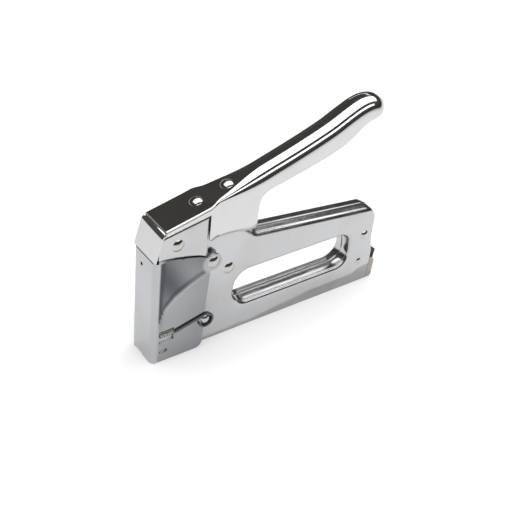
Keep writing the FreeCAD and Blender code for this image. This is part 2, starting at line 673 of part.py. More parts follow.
for side, label in ((-1, "keeper_spring_left"), (1, "keeper_spring_right")):
    level = side * (size("cover_half") + wire + CLOSE)
    centre = Vector(RIVET_KEEPER[0], level, RIVET_KEEPER[1])
    start = Vector(ARM_START[0], level, ARM_START[1])
    reach = centre - start
    lean = math.atan2(start.z - centre.z, start.x - centre.x) - math.acos(turn_radius / reach.Length)
    touch, middle, finish = [on_turn(centre, lean - wrap) for wrap in (0, HALF_WRAP, WHOLE_WRAP)]
    path = Part.Wire([Part.LineSegment(start, touch).toShape(), Part.Arc(touch, middle, finish).toShape()])
    section = Part.Wire([Part.Circle(start, touch - start, wire).toShape()])
    arm_shape = path.makePipeShell([section], True, True)
    coil_start = Vector(COIL_FRONT, level - side * inset, COIL_HIGH)
    along = Vector(1, 0, 0)
    coil_body = Part.makeCylinder(size("keeper_coil"), COIL_LENGTH, coil_start, along)
    coil_bore = Part.makeCylinder(size("keeper_bore"), COIL_LENGTH + 1, coil_start - along * 0.2, along)
    post_start = Vector(ARM_START[0] - 0.5, level, ARM_START[1])
    post = Part.makeCylinder(wire, inset, post_start, Vector(0, -side, 0))
    spring = doc.addObject("Part::Feature", label)
    spring.Shape = coil_body.cut(coil_bore).fuse([post, arm_shape])
    keep(spring, label)

# ---- Magazine --------------------------------------------------------------------------------

track_end = body_end - 1.2
rail_front = blade_back + 0.15
track_solid = slab("track_solid", [[
    (rail_front, 0, 0), (track_end, 0, 0), (track_end, size("track_high"), 0),
    (rail_front, size("track_high"), 0)]],
    "track_half")
track_gap = slab("track_gap", [[
    (3, size("track_wall"), 0), (track_end + 1, size("track_wall"), 0), (track_end + 1, 30, 0), (3, 30, 0)]],
    "track_half - track_wall")
keep(cut("magazine_track", track_solid, track_gap), "magazine_track")
rail_end, rail_top, rail_low = track_end - 1, size("rail_high"), 0.9
rail_solid = slab("rail_solid", [[
    (rail_front, rail_low, 0), (rail_end, rail_low, 0), (rail_end, rail_top, 0), (rail_front, rail_top, 0)]],
    "rail_half")
rail_gap = slab("rail_gap", [[
    (3, 0, 0), (track_end, 0, 0), (track_end, rail_top - rail_low, 0), (3, rail_top - rail_low, 0)]],
    "rail_half - track_wall")
# The follower's tongue runs in the slot along the rail's top.
rail_slot = slab("rail_slot", [[(9, 5, 0), (track_end, 5, 0), (track_end, 20, 0), (9, 20, 0)]], "1.3")
keep(cut("staple_rail", rail_solid, rail_gap, rail_slot), "staple_rail")


def bar_x(name, x_place, radius, length):
    """A round bar along X at the pusher rod's height."""
    bar = doc.addObject("Part::Cylinder", name)
    bind(bar, "Radius", radius)
    bind(bar, "Height", length)
    lying = FreeCAD.Rotation(Vector(0, 1, 0), 90)
    bar.Placement = FreeCAD.Placement(Vector(x_place, 0, size("rod_z")), lying)
    return bar


hood_front, hood_rear = size("follower_front"), size("follower_rear")
follower = slab("follower_solid", [[
    (hood_front, 1.4, 0), (hood_rear, 1.4, 0), (hood_rear, 11.6, 0.8), (hood_front, 11.6, 0.8)]],
    "track_half - track_wall - 0.15")
follower_gap = slab("follower_gap", [[(6, 0, 0), (22, 0, 0), (22, 10.4, 0), (6, 10.4, 0)]],
                    "rail_half + 0.12")
tongue = slab("tongue", [[(12, 7.6, 0), (20, 7.6, 0), (20, 11.4, 0), (12, 11.4, 0)]], "1.0")
eye = bar_x("follower_eye", 12, "eye_radius", "8")
eye_bore = bar_x("follower_bore", 10, "rod_radius + 0.08", "12")
hood = cut("follower_hood", follower, follower_gap)
keep(cut("staple_follower", fuse("follower_all", hood, tongue, eye), eye_bore), "staple_follower")

rod_front = size("rod_front")
rod = bar_x("rod_bar", rod_front, "rod_radius", "body_length + rod_past_body - rod_front")
stop = bar_x("rod_stop", rod_front, "stop_radius", "stop_thick")
keep(fuse("pusher_rod", rod, stop), "pusher_rod")
coil("feed_spring", size("feed_start"), size("rod_z"), "feed_mean", "feed_wire", "feed_turns",
     size("feed_length"), True)

# ---- Rear latch ------------------------------------------------------------------------------

latch_front = body_end + size("latch_gap")
latch_solid = slab("latch_solid", [[
    (latch_front, 0.2, 0), (164.2, 0.2, 1.2), (164.8, 13.2, 1.5), (161.9, 15.6, 0), (latch_front, 15.6, 0)]],
    "rear_half")
web_back = 161.4
latch_gap = slab("latch_gap", [[(web_back, -1, 0), (170, -1, 0), (170, 20, 0), (web_back, 20, 0)]],
                 "rear_half - latch_sheet")
latch_bore = bar_x("latch_bore", 159, "rod_radius + hole_gap", "4")
LATCH_PIN = (163.0, 3.2)
latch_pin_hole = cylinder_y("latch_pin_hole", *LATCH_PIN, "latch_pin_radius + hole_gap", THROUGH)
keep(cut("latch_holder", latch_solid, latch_gap, latch_bore, latch_pin_hole), "latch_holder")
keep(cylinder_y("latch_pin", *LATCH_PIN, "latch_pin_radius", "rear_half - 0.1"), "latch_pin")
catch_half = "rear_half - catch_sheet"
catch_solid = slab("catch_solid", [[
    (162.5, 1.7, 0.3), (163.5, 1.7, 0.3), (164.2, 12, 2), (164.9, 18.2, 0), (165.4, 20.2, 0.3),
    (159.6, 20.2, 0.3), (159.6, 18.6, 0.3), (163.0, 18.6, 0.6), (163.1, 12, 2)]], catch_half)
catch_eye = cylinder_y("catch_eye", *LATCH_PIN, "catch_eye", catch_half)
catch_bore = cylinder_y("catch_bore", *LATCH_PIN, "latch_pin_radius + 0.06", THROUGH)
rod_relief = slab("rod_relief", [[(160, 3, 0), (168, 3, 0), (168, 8, 0), (160, 8, 0)]], "1.7")
keep(cut("latch_catch", fuse("catch_all", catch_solid, catch_eye), catch_bore, rod_relief), "latch_catch")

# ---- Check and write -------------------------------------------------------------------------

doc.recompute()
for item in doc.Objects:
    if "Invalid" in item.State or "Error" in item.State:
        raise RuntimeError("failed: %s %s" % (item.Label, item.State))
os.makedirs("parts", exist_ok=True)
for piece in nodes:
    shape = piece.Shape
    if shape.isNull() or not shape.isValid() or not shape.Solids:
        raise RuntimeError("bad shape: " + piece.Label)
    shape.exportStep("parts/%s.step" % piece.Label)
    box = shape.BoundBox
    reach = (box.XMin, box.XMax, box.YMin, box.YMax, box.ZMin, box.ZMax)
    print("%-22s solids %d volume %9.1f" % (piece.Label, len(shape.Solids), shape.Volume),
          " x %.1f..%.1f y %.1f..%.1f z %.1f..%.1f" % reach)
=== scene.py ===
import math

import bmesh
import bpy
import numpy as np
from mathutils import Matrix, Vector
from mathutils.geometry import delaunay_2d_cdt


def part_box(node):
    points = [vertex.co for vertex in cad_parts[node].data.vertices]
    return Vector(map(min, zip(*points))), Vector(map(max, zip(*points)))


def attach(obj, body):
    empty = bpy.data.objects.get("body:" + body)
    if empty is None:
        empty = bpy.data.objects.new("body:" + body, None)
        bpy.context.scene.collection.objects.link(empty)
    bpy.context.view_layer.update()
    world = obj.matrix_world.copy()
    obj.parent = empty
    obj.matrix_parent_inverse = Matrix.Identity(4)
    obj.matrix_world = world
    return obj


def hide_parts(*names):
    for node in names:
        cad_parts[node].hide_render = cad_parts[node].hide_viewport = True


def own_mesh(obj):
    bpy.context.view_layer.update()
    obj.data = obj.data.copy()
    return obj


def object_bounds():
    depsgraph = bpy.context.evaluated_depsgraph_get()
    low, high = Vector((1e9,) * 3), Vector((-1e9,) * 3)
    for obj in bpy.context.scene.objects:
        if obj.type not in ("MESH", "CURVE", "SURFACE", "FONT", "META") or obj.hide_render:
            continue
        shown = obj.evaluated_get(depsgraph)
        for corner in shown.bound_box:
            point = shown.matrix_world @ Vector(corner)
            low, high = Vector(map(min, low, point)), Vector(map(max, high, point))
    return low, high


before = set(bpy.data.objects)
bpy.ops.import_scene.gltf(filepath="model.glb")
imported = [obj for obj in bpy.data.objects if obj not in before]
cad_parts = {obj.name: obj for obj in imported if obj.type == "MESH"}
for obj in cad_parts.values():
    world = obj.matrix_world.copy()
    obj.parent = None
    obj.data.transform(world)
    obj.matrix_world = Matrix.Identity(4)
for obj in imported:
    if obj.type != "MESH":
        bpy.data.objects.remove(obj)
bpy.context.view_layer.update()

# Lengths read from the CAD are in metres. The pieces are drawn in millimetres, x from the nose's front.
MM = 0.001
WELD_GAP = 2e-6
THINNEST = 1e-7
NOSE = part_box("nose_cover")[0].x
COVER_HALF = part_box("front_cap")[1].y
COVER_SHEET = 1.2 * MM
HANDLE_SHEET = 1.0 * MM
BODY_SHEET = 0.9 * MM
REAR_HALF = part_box("latch_holder")[1].y
HEAD_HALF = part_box("shell_right")[1].y


def middle(node):
    """The middle of a CAD node's box, as x from the nose front and z, in millimetres."""
    low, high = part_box(node)
    return ((low.x + high.x) / 2 - NOSE) / MM, (low.z + high.z) / 2 / MM


# ---- Meshes from arrays -----------------------------------------------------------------------

def new_piece(name, points, faces, body, material, sharp=35):
    """A mesh from millimetre points with x from the nose front, welded, facing outwards and smooth."""
    coords = np.asarray(points, float).reshape(-1, 3) * MM
    coords[:, 0] += NOSE
    mesh = bpy.data.meshes.new(name)
    mesh.from_pydata(coords.tolist(), [], [list(map(int, f)) for f in faces])
    work = bmesh.new()
    work.from_mesh(mesh)
    bmesh.ops.remove_doubles(work, verts=work.verts, dist=WELD_GAP)
    bmesh.ops.dissolve_degenerate(work, edges=work.edges, dist=THINNEST)
    bmesh.ops.recalc_face_normals(work, faces=work.faces)
    work.to_mesh(mesh)
    work.free()
    mesh.shade_smooth()
    mesh.set_sharp_from_angle(angle=math.radians(sharp))
    piece = bpy.data.objects.new(name, mesh)
    bpy.context.scene.collection.objects.link(piece)
    piece.data.materials.append(material)
    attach(piece, body)
    return piece


def grid_faces(rows, columns, wrap_columns=False):
    """Quads over a grid of rows x columns points, closed round its columns where asked."""
    last_column = columns if wrap_columns else columns - 1
    i, j = np.meshgrid(np.arange(rows - 1), np.arange(last_column), indexing="ij")
    a = i * columns + j
    b = i * columns + (j + 1) % columns
    c = (i + 1) * columns + (j + 1) % columns
    d = (i + 1) * columns + j
    return np.stack([a, b, c, d], -1).reshape(-1, 4).tolist()


def joined(parts):
    """Several (points, faces) surfaces as one list of points and faces."""
    points, faces, start = [], [], 0
    for part_points, part_faces in parts:
        flat = np.asarray(part_points, float).reshape(-1, 3)
        points.append(flat)
        faces += [[v + start for v in face] for face in part_faces]
        start += len(flat)
    return np.concatenate(points), faces


def smooth_step(low, high, value):
    """0 below low, 1 above high and a smooth S between them."""
    t = np.clip((value - low) / (high - low), 0, 1)
    return t * t * (3 - 2 * t)


def round_corners(outline, step=0.5):
    """A closed run of points whose corners (x, z, radius) are rounded by tangent arcs."""
    corners = np.array([c[:2] for c in outline], float)
    run = []
    for k, (x, z, radius) in enumerate(outline):
        here = corners[k]
        if radius == 0:
            run.append(here[None])
            continue
        back = corners[k - 1] - here
        ahead = corners[(k + 1) % len(corners)] - here
        back /= np.linalg.norm(back)
        ahead /= np.linalg.norm(ahead)
        half = math.acos(np.clip(back @ ahead, -1, 1)) / 2
        bisector = (back + ahead) / np.linalg.norm(back + ahead)
        centre = here + bisector * radius / math.sin(half)
        start = here + back * radius / math.tan(half) - centre
        turn = math.pi - 2 * half
        sign = 1 if start[0] * (here - centre)[1] - start[1] * (here - centre)[0] > 0 else -1
        count = max(4, int(radius * turn / step))
        angle = np.linspace(0, turn, count) * sign
        run.append(centre + np.stack([start[0] * np.cos(angle) - start[1] * np.sin(angle),
                                      start[0] * np.sin(angle) + start[1] * np.cos(angle)], -1))
    return np.concatenate(run)


def inset(loop, distance):
    """A closed loop moved towards its left by distance, along the mean normal at each point."""
    ahead = np.roll(loop, -1, 0) - loop
    back = loop - np.roll(loop, 1, 0)
    ahead /= np.linalg.norm(ahead, axis=1)[:, None] + 1e-12
    back /= np.linalg.norm(back, axis=1)[:, None] + 1e-12
    normal = np.stack([-(ahead + back)[:, 1], (ahead + back)[:, 0]], -1)
    normal /= np.linalg.norm(normal, axis=1)[:, None] + 1e-12
    spread = np.clip((normal * np.stack([-ahead[:, 1], ahead[:, 0]], -1)).sum(1), 0.4, 1)
    return loop + normal * (distance / spread)[:, None]


def inside(points, loop):
    """Which points lie inside a closed loop, by counting the edges to their right."""
    x, z = points[:, 0:1], points[:, 1:2]
    a, b = loop, np.roll(loop, -1, 0)
    rise = (a[:, 1] > z) != (b[:, 1] > z)
    cross = (b[:, 0] - a[:, 0]) * (z - a[:, 1]) / (b[:, 1] - a[:, 1] + 1e-12) + a[:, 0]
    return (rise & (x < cross)).sum(1) % 2 == 1


def filled(outer, holes, spacing=None):
    """Triangles over the flat region between a loop and its holes, with inner points if spaced."""
    loops = [outer] + list(holes)
    points, edges, start = [], [], 0
    for loop in loops:
        points.append(loop)
        edges += [(start + k, start + (k + 1) % len(loop)) for k in range(len(loop))]
        start += len(loop)
    if spacing:
        low, high = outer.min(0), outer.max(0)
        gx, gz = np.meshgrid(np.arange(low[0] + spacing / 2, high[0], spacing),
                             np.arange(low[1] + spacing / 2, high[1], spacing))
        spots = np.stack([gx.ravel(), gz.ravel()], -1)
        points.append(spots[inside(spots, outer)])
    flat = np.concatenate(points)
    made = delaunay_2d_cdt([Vector(p) for p in flat], edges, [], 0, 1e-5)
    vertices = np.array([tuple(v) for v in made[0]])
    triangles = np.array(made[2])
    middles = vertices[triangles].mean(1)
    wanted = inside(middles, outer)
    for hole in holes:
        wanted &= ~inside(middles, hole)
    return vertices, triangles[wanted].tolist()


def turned(profile, centre, turns=48):
    """A profile of (radius, y) points turned about the line through centre along Y."""
    angle = np.linspace(0, 2 * math.pi, turns, endpoint=False)
    radius, along = np.asarray(profile, float).T
    x = centre[0] + radius[:, None] * np.cos(angle)
    z = centre[1] + radius[:, None] * np.sin(angle)
    y = np.broadcast_to(along[:, None], x.shape)
    return np.stack([x, y, z], -1), grid_faces(len(radius), turns, wrap_columns=True)


def tube(line, radius, sides=12):
    """A round wire: a circle carried along a line of points, square to it, with closed ends."""
    line = np.asarray(line, float)
    along = np.gradient(line, axis=0)
    along /= np.linalg.norm(along, axis=1)[:, None]
    normal = np.zeros_like(line)
    side = np.cross(along[0], [0.13, 0.97, 0.21])
    for k in range(len(line)):
        side = side - along[k] * (side @ along[k])
        side = side / np.linalg.norm(side)
        normal[k] = side
    across = np.cross(along, normal)
    share = np.ones(len(line))
    line = np.concatenate([line[:1], line, line[-1:]])
    normal = np.concatenate([normal[:1], normal, normal[-1:]])
    across = np.concatenate([across[:1], across, across[-1:]])
    share = np.concatenate([[0.02], share, [0.02]])
    angle = np.linspace(0, 2 * math.pi, sides, endpoint=False)
    cosine, sine = np.cos(angle)[None, :, None], np.sin(angle)[None, :, None]
    ring = normal[:, None] * cosine + across[:, None] * sine
    points = line[:, None] + ring * (radius * share)[:, None, None]
    faces = grid_faces(len(line), sides, wrap_columns=True)
    count = len(line) * sides
    faces += [list(range(sides))[::-1], list(range(count - sides, count))]
    return points, faces


# ---- Finishes ---------------------------------------------------------------------------------

MARK_SIZE, DULL_SIZE, HAIR_SIZE = 90, 35, 300
HAIR_STRETCH = (1, 1, 14)
HAIR_DEPTH = 0.01 * MM
DULL_TINT = (0.72, 0.70, 0.66)
# The plate's colour where its painted reflection is darkest.
DARKEST_PAINTED_REFLECTION = (0.050, 0.055, 0.062, 1)


def plated(name, colour, rough, ripple, ripple_size, scratch, grime=0.25, metallic=1.0, painted_reflection_map=None):
    """Bright plate on metal: soft ripples in the sheet, hairline scratches, handling marks in the gloss
    and a slight darkening where it has dulled. A painted reflection map is a mesh attribute that dims the
    plate with painted reflection and painted shade."""
    material = bpy.data.materials.new(name)
    material.use_nodes = True
    tree = material.node_tree
    nodes, links = tree.nodes, tree.links
    shader = nodes["Principled BSDF"]
    shader.inputs["Metallic"].default_value = metallic
    place = nodes.new("ShaderNodeTexCoord")

    def noise(size, detail, stretch=(1, 1, 1)):
        spread = nodes.new("ShaderNodeMapping")
        spread.inputs["Scale"].default_value = stretch
        links.new(place.outputs["Object"], spread.inputs["Vector"])
        texture = nodes.new("ShaderNodeTexNoise")
        texture.inputs["Scale"].default_value = size
        texture.inputs["Detail"].default_value = detail
        links.new(spread.outputs["Vector"], texture.inputs["Vector"])
        return texture

    def ramp(source, low, high, first, second):
        scale = nodes.new("ShaderNodeMapRange")
        scale.inputs["From Min"].default_value = low
        scale.inputs["From Max"].default_value = high
        scale.inputs["To Min"].default_value = first
        scale.inputs["To Max"].default_value = second
        links.new(source.outputs["Fac"], scale.inputs["Value"])
        return scale

    marks = noise(MARK_SIZE, 6)
    gloss = ramp(marks, 0.35, 0.75, rough * 0.8, rough * 1.5)
    links.new(gloss.outputs["Result"], shader.inputs["Roughness"])
    dulled = noise(DULL_SIZE, 5)
    tone = ramp(dulled, 0.45, 0.85, 0.0, grime)
    mix = nodes.new("ShaderNodeMix")
    mix.data_type = "RGBA"
    mix.inputs["A"].default_value = (*colour, 1)
    mix.inputs["B"].default_value = (*(c * t for c, t in zip(colour, DULL_TINT)), 1)
    links.new(tone.outputs["Result"], mix.inputs["Factor"])
    shade = mix
    # A painted reflection map dims the plate's colour towards the darkest painted reflection.
    if painted_reflection_map:
        painted_reflection_attribute = nodes.new("ShaderNodeAttribute")
        painted_reflection_attribute.attribute_name = painted_reflection_map
        shade = nodes.new("ShaderNodeMix")
        shade.data_type = "RGBA"
        shade.inputs["A"].default_value = DARKEST_PAINTED_REFLECTION
        links.new(painted_reflection_attribute.outputs["Fac"], shade.inputs["Factor"])
        links.new(mix.outputs["Result"], shade.inputs["B"])
    links.new(shade.outputs["Result"], shader.inputs["Base Color"])
    wave = noise(ripple_size, 2)
    broad = nodes.new("ShaderNodeBump")
    broad.inputs["Strength"].default_value = 1.0
    broad.inputs["Distance"].default_value = ripple * MM
    links.new(wave.outputs["Fac"], broad.inputs["Height"])
    hair = noise(HAIR_SIZE, 3, HAIR_STRETCH)
    fine = nodes.new("ShaderNodeBump")
    fine.inputs["Strength"].default_value = scratch
    fine.inputs["Distance"].default_value = HAIR_DEPTH
    links.new(hair.outputs["Fac"], fine.inputs["Height"])
    links.new(broad.outputs["Normal"], fine.inputs["Normal"])
    links.new(fine.outputs["Normal"], shader.inputs["Normal"])
    return material


HANDLE_PLATE = plated("handle_plate", (0.62, 0.62, 0.63), 0.08, 0.06, 45, 0.20, 0.20)
BODY_PLATE = plated("body_plate", (0.52, 0.525, 0.535), 0.17, 0.07, 40, 0.40, 0.45)
# The cover's plate is dimmed by painted reflection and painted shade, read from its tone attribute.
COVER_PLATE = plated("cover_plate_painted_reflection", (0.46, 0.47, 0.49), 0.14, 0.09, 50, 0.40, 0.45, painted_reflection_map="tone")
CAP_PLATE = plated("cap_plate", (0.60, 0.60, 0.61), 0.14, 0.05, 60, 0.35, 0.35)
RIVET_PLATE = plated("rivet_plate", (0.52, 0.515, 0.50), 0.12, 0.03, 120, 0.20, 0.40)
LATCH_PLATE = plated("latch_plate", (0.36, 0.34, 0.31), 0.22, 0.04, 90, 0.30, 0.50)
ZINC = plated("zinc_steel", (0.24, 0.24, 0.235), 0.30, 0.02, 90, 0.50, 0.50)
SPRING_WIRE = plated("spring_wire", (0.45, 0.47, 0.43), 0.25, 0.01, 150, 0.40, 0.40)
KEEPER_WIRE = plated("keeper_wire", (0.12, 0.125, 0.13), 0.22, 0.01, 150, 0.40, 0.40)
BLACK_OXIDE = plated("black_oxide", (0.030, 0.030, 0.032), 0.38, 0.03, 120, 0.40, 0.40, metallic=0.6)

NODE_FINISH = {
    "front_cap": CAP_PLATE, "magazine_track": ZINC, "staple_rail": ZINC, "latch_holder": LATCH_PLATE,
    "latch_catch": BLACK_OXIDE, "lever_bracket": ZINC, "lift_lever": ZINC, "lever_spacers": ZINC,
    "lever_pin": ZINC, "pivot_sleeve": ZINC, "striker_blade": ZINC, "striker_head": ZINC, "spring_seat": ZINC,
    "guide_plate": ZINC, "guide_block": ZINC, "staple_follower": ZINC, "pusher_rod": ZINC, "latch_pin": ZINC,
    "handle_rivets": RIVET_PLATE,
}


def give_sheet(piece, thickness):
    """Thicken a surface inwards into sheet metal."""
    wall = piece.modifiers.new("sheet", "SOLIDIFY")
    wall.thickness = thickness
    wall.offset = -1


def ease_edges(piece, width):
    """Round the edges where the surface turns by more than 40 degrees."""
    edge = piece.modifiers.new("edge", "BEVEL")
    edge.width = width * MM
    edge.segments = 2
    edge.limit_method = "ANGLE"
    edge.angle_limit = math.radians(40)
    edge.harden_normals = True


def finish_node(node, material):
    """Give a CAD node its finish, with its sharp edges eased by a narrow round."""
    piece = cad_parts[node]
    piece.data.materials.clear()
    piece.data.materials.append(material)
    weld = piece.modifiers.new("weld", "WELD")
    weld.merge_threshold = WELD_GAP
    ease_edges(piece, 0.15)


for node, material in NODE_FINISH.items():
    finish_node(node, material)

# ---- Body shells ------------------------------------------------------------------------------

REAR_EDGE = [
    (30, 0, 0), (160.5, 0, 0), (160.5, 20.8, 0), (160.5, 24, 0), (160.5, 28, 0), (160.5, 34, 0),
    (160.5, 54.9, 11), (67, 65.5, 8), (56, 74, 8), (42, 80, 6), (30, 82, 0),
]
# The loop's rear corners are rounder than in the CAD's shells, which have 5.5 mm there.
LOOP_EDGE = [(55, 17.8, 10), (142, 17.8, 9), (140, 40.6, 9), (57, 40.6, 10)]
MOUTH_HALF, MOUTH_TOP = 6.3, 20.8
LIP = 2.8
SHOULDER = 3.2
CROWN = 0.30
SEAM = 0.35
HEAD_FRONT, HEAD_REAR, HEAD_FOOT, HEAD_TURN = 3.1, 34.0, 0.8, 1.6
HEAD_TOP = ([HEAD_FRONT, 5.6, 33.0, HEAD_REAR], [76.5, 84.6, 89.9, 89.4])


def rounded_lip(loop, face, side, lip, open_foot=False):
    """A sheet edge turned in: from the seam at the mid-plane the wall rises to a slight crown, then a
    quarter round brings it to the flat face. The round's angle carries the loop inwards by
    lip * (1 - cos) while y climbs by lip * sin. On a body with an open foot all of it fades out down
    to the magazine's mouth, and the foot, the mouth and the part inside the head are left out."""
    share = smooth_step(MOUTH_TOP, 34, loop[:, 1]) if open_foot else np.ones(len(loop))
    shape = [(0.0, SEAM), (0.12, SEAM * 0.8), (0.40, SEAM * 0.15), (0.60, 0.0)]
    span = face - lip
    shape += [(y, CROWN * ((y - 0.6) / (span - 0.6)) ** 2) for y in np.linspace(1.2, span, 6)]
    shape += [(span + lip * math.sin(a), CROWN + lip * (1 - math.cos(a)))
              for a in np.linspace(0.1, math.pi / 2, 12)]
    unit = inset(loop, 1.0) - loop
    rows = []
    for depth, inward in shape:
        moved = loop + unit * (inward * share)[:, None]
        rows.append(np.column_stack([moved[:, 0], np.full(len(loop), side * depth), moved[:, 1]]))
    grid = np.stack(rows)
    faces = grid_faces(len(rows), len(loop), wrap_columns=True)
    if open_foot:
        place, depth, height = np.abs(grid.reshape(-1, 3)[np.array(faces)]).transpose(2, 0, 1)
        mouth = (height.max(1) < MOUTH_TOP + 0.01) & (depth.mean(1) < MOUTH_HALF)
        keep = (height.max(1) > 0.01) & (place.max(1) > 30.9) & ~mouth
        faces = [face for face, kept in zip(faces, keep) if kept]
    return grid, faces, grid[-1][:, [0, 2]]


def head_wall(side):
    """The head's side: a plan profile that is flat, turns round the rear corner and comes in to the
    narrower rear part, carried straight up to the head's sloping top."""
    face, step, turn = HEAD_HALF / MM, REAR_HALF / MM, HEAD_TURN
    angle = np.linspace(0, math.pi / 2, 8)
    flat = np.column_stack([np.linspace(HEAD_FRONT, HEAD_REAR - turn, 40), np.full(40, face)])
    corner = np.column_stack([HEAD_REAR - turn + turn * np.sin(angle),
                              face - turn + turn * np.cos(angle)])
    tail = np.array([[HEAD_REAR, step], [HEAD_REAR, 0.2]])
    profile = np.concatenate([flat, corner[1:], tail])
    top = np.interp(profile[:, 0], *HEAD_TOP)
    height = np.linspace(0, 1, 30)
    z = HEAD_FOOT + (top[:, None] - HEAD_FOOT) * height
    x = np.broadcast_to(profile[:, 0:1], z.shape)
    y = np.broadcast_to(side * profile[:, 1:2], z.shape)
    return np.stack([x, y, z], -1), grid_faces(len(profile), len(height))


def make_shell(name, side):
    """One body shell: its rounded rim and finger loop, the flat panel between them and the head's side."""
    outer = round_corners(REAR_EDGE)
    loop = round_corners(LOOP_EDGE)[::-1]
    face = REAR_HALF / MM
    rim, rim_faces, rim_in = rounded_lip(outer, face, side, SHOULDER, open_foot=True)
    lip, lip_faces, lip_in = rounded_lip(loop, face, side, LIP)
    flat, triangles = filled(rim_in, [lip_in])
    panel = np.column_stack([flat[:, 0], np.full(len(flat), side * face), flat[:, 1]])
    points, faces = joined([(rim, rim_faces), (lip, lip_faces), (panel, triangles), head_wall(side)])
    piece = new_piece("body_" + name, points, faces, "frame", BODY_PLATE)
    give_sheet(piece, BODY_SHEET)
    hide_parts(name)


make_shell("shell_left", -1)
make_shell("shell_right", 1)

# ---- Nose cover -------------------------------------------------------------------------------

PIVOT = middle("pivot_pin")
KEEPER = middle("keeper_rivet")
COVER_TOP = 69.5
COVER_CORNER = 3.0
COVER_ROWS = 60
LUG_ROUND, FOOT_ROUND = 5.4, 4.6
RELIEF = 0.75
CREASE_LINE = ([3, 3.5, 7.4, 13.4, 22.5, 34.9, 40], [22, 26, 37.1, 43.1, 48.6, 54.3, 56])
# Painted reflection on the cover's plate: a dark painted reflection above the crease, painted shade along the
# crease and in the front corner, a painted highlight on the crease's lip and a paler painted reflection on
# the foot and round the pivot lug.
PAINTED_DARK_REFLECTION, PAINTED_DARK_REFLECTION_REAR, PAINTED_DARK_REFLECTION_WAVE = 0.20, 0.22, 0.10
FOOT_PAINTED_REFLECTION, FOOT_PAINTED_REFLECTION_REAR, FOOT_PAINTED_REFLECTION_LOW = 0.74, 0.14, 0.08
CREASE_PAINTED_SHADE, CREASE_PAINTED_HIGHLIGHT, CORNER_PAINTED_SHADE = 0.35, 0.22, 0.30
LUG_PAINTED_REFLECTION = 0.85
WINDOW = [(4.5, 13.4, 0.8), (13.8, 13.4, 0.8), (13.8, 22.4, 0.8), (4.5, 22.4, 0.8)]
SLOT = [(4.7, 6.2, 1.1), (9.9, 6.2, 1.1), (9.9, 8.6, 1.1), (4.7, 8.6, 1.1)]


def crease(x):
    """Height of the pressed crease across the cover's side: it climbs fast, then levels out."""
    return np.interp(x, *CREASE_LINE)


def cover_relief(x, z):
    """The cover's side is pressed in above the crease, most of all near the front, and a ring stands
    round the pivot. It is level at the front edge, where the rounded corner begins."""
    above = smooth_step(-1.5, 3.5, z - crease(x)) * smooth_step(3.0, 5.0, x)
    fade = 1 - smooth_step(52, 68, z) * 0.6
    near_pivot = np.hypot(x - PIVOT[0], z - PIVOT[1])
    clear = smooth_step(6.5, 12, near_pivot)
    return RELIEF * above * fade * clear


def cover_painted_reflection(x, z):
    """How bright the cover's plate is painted, from 0 to 1, as painted reflection and painted shade: a dark
    painted reflection above the crease, painted shade darkest along it and in the front corner, a painted
    highlight as a thin bright line on the crease's lip, a paler painted reflection on the foot below and a
    nearly full brightness round the pivot lug."""
    over = z - crease(x)
    side = smooth_step(3.2, 4.2, x)
    painted_dark_reflection = PAINTED_DARK_REFLECTION + PAINTED_DARK_REFLECTION_REAR * smooth_step(8, 30, x) + PAINTED_DARK_REFLECTION_WAVE * np.sin(0.22 * x + 0.16 * z)
    foot = FOOT_PAINTED_REFLECTION - FOOT_PAINTED_REFLECTION_REAR * smooth_step(12, 32, x) - FOOT_PAINTED_REFLECTION_LOW * smooth_step(12, 0, z)
    tone = foot + (painted_dark_reflection - foot) * smooth_step(-0.5, 2.5, over)
    tone -= CREASE_PAINTED_SHADE * np.exp(-((over - 1.4) / 1.6) ** 2)
    tone += CREASE_PAINTED_HIGHLIGHT * np.exp(-((over + 1.0) / 0.5) ** 2)
    tone -= CORNER_PAINTED_SHADE * np.exp(-((x - 4.6) / 1.6) ** 2) * smooth_step(20, 32, z)
    lug = smooth_step(5.6, 8.0, np.hypot(x - PIVOT[0], z - PIVOT[1]))
    tone = LUG_PAINTED_REFLECTION + (tone - LUG_PAINTED_REFLECTION) * lug
    return np.clip(1 + (tone - 1) * side, 0.05, 1)


def arc(centre, radius, angles):
    """Points on a circle about a centre, as a list of (x, z)."""
    return [(centre[0] + radius * math.cos(a), centre[1] + radius * math.sin(a)) for a in angles]


def cover_side(side):
    """The cover's flat side with its window, slot and the two lugs that the pins go through."""
    lug = arc(PIVOT, LUG_ROUND, np.linspace(-1.9, 2.3, 26))
    foot = arc(KEEPER, FOOT_ROUND, np.linspace(-1.8, 1.8, 18))
    front = np.linspace(COVER_TOP, 0, COVER_ROWS)
    edge = [(COVER_CORNER, z) for z in front]
    edge += [(29.5, 0), (31.5, 0.9), (32.9, 3.2)] + foot + lug
    edge += [(28, 65.2), (21.4, 67.0), (14, 68.6), (8, 69.4)]
    outer = np.array(edge)
    holes = [round_corners(WINDOW, 0.3), round_corners(SLOT, 0.3)]
    flat, triangles = filled(outer, holes, 0.9)
    depth = COVER_HALF / MM - cover_relief(flat[:, 0], flat[:, 1])
    return np.column_stack([flat[:, 0], side * depth, flat[:, 1]]), triangles


STRIP_HOLE = (2.4, 62.2, 1.1)
NOTCH = (-0.8, 7.2, 1.4)


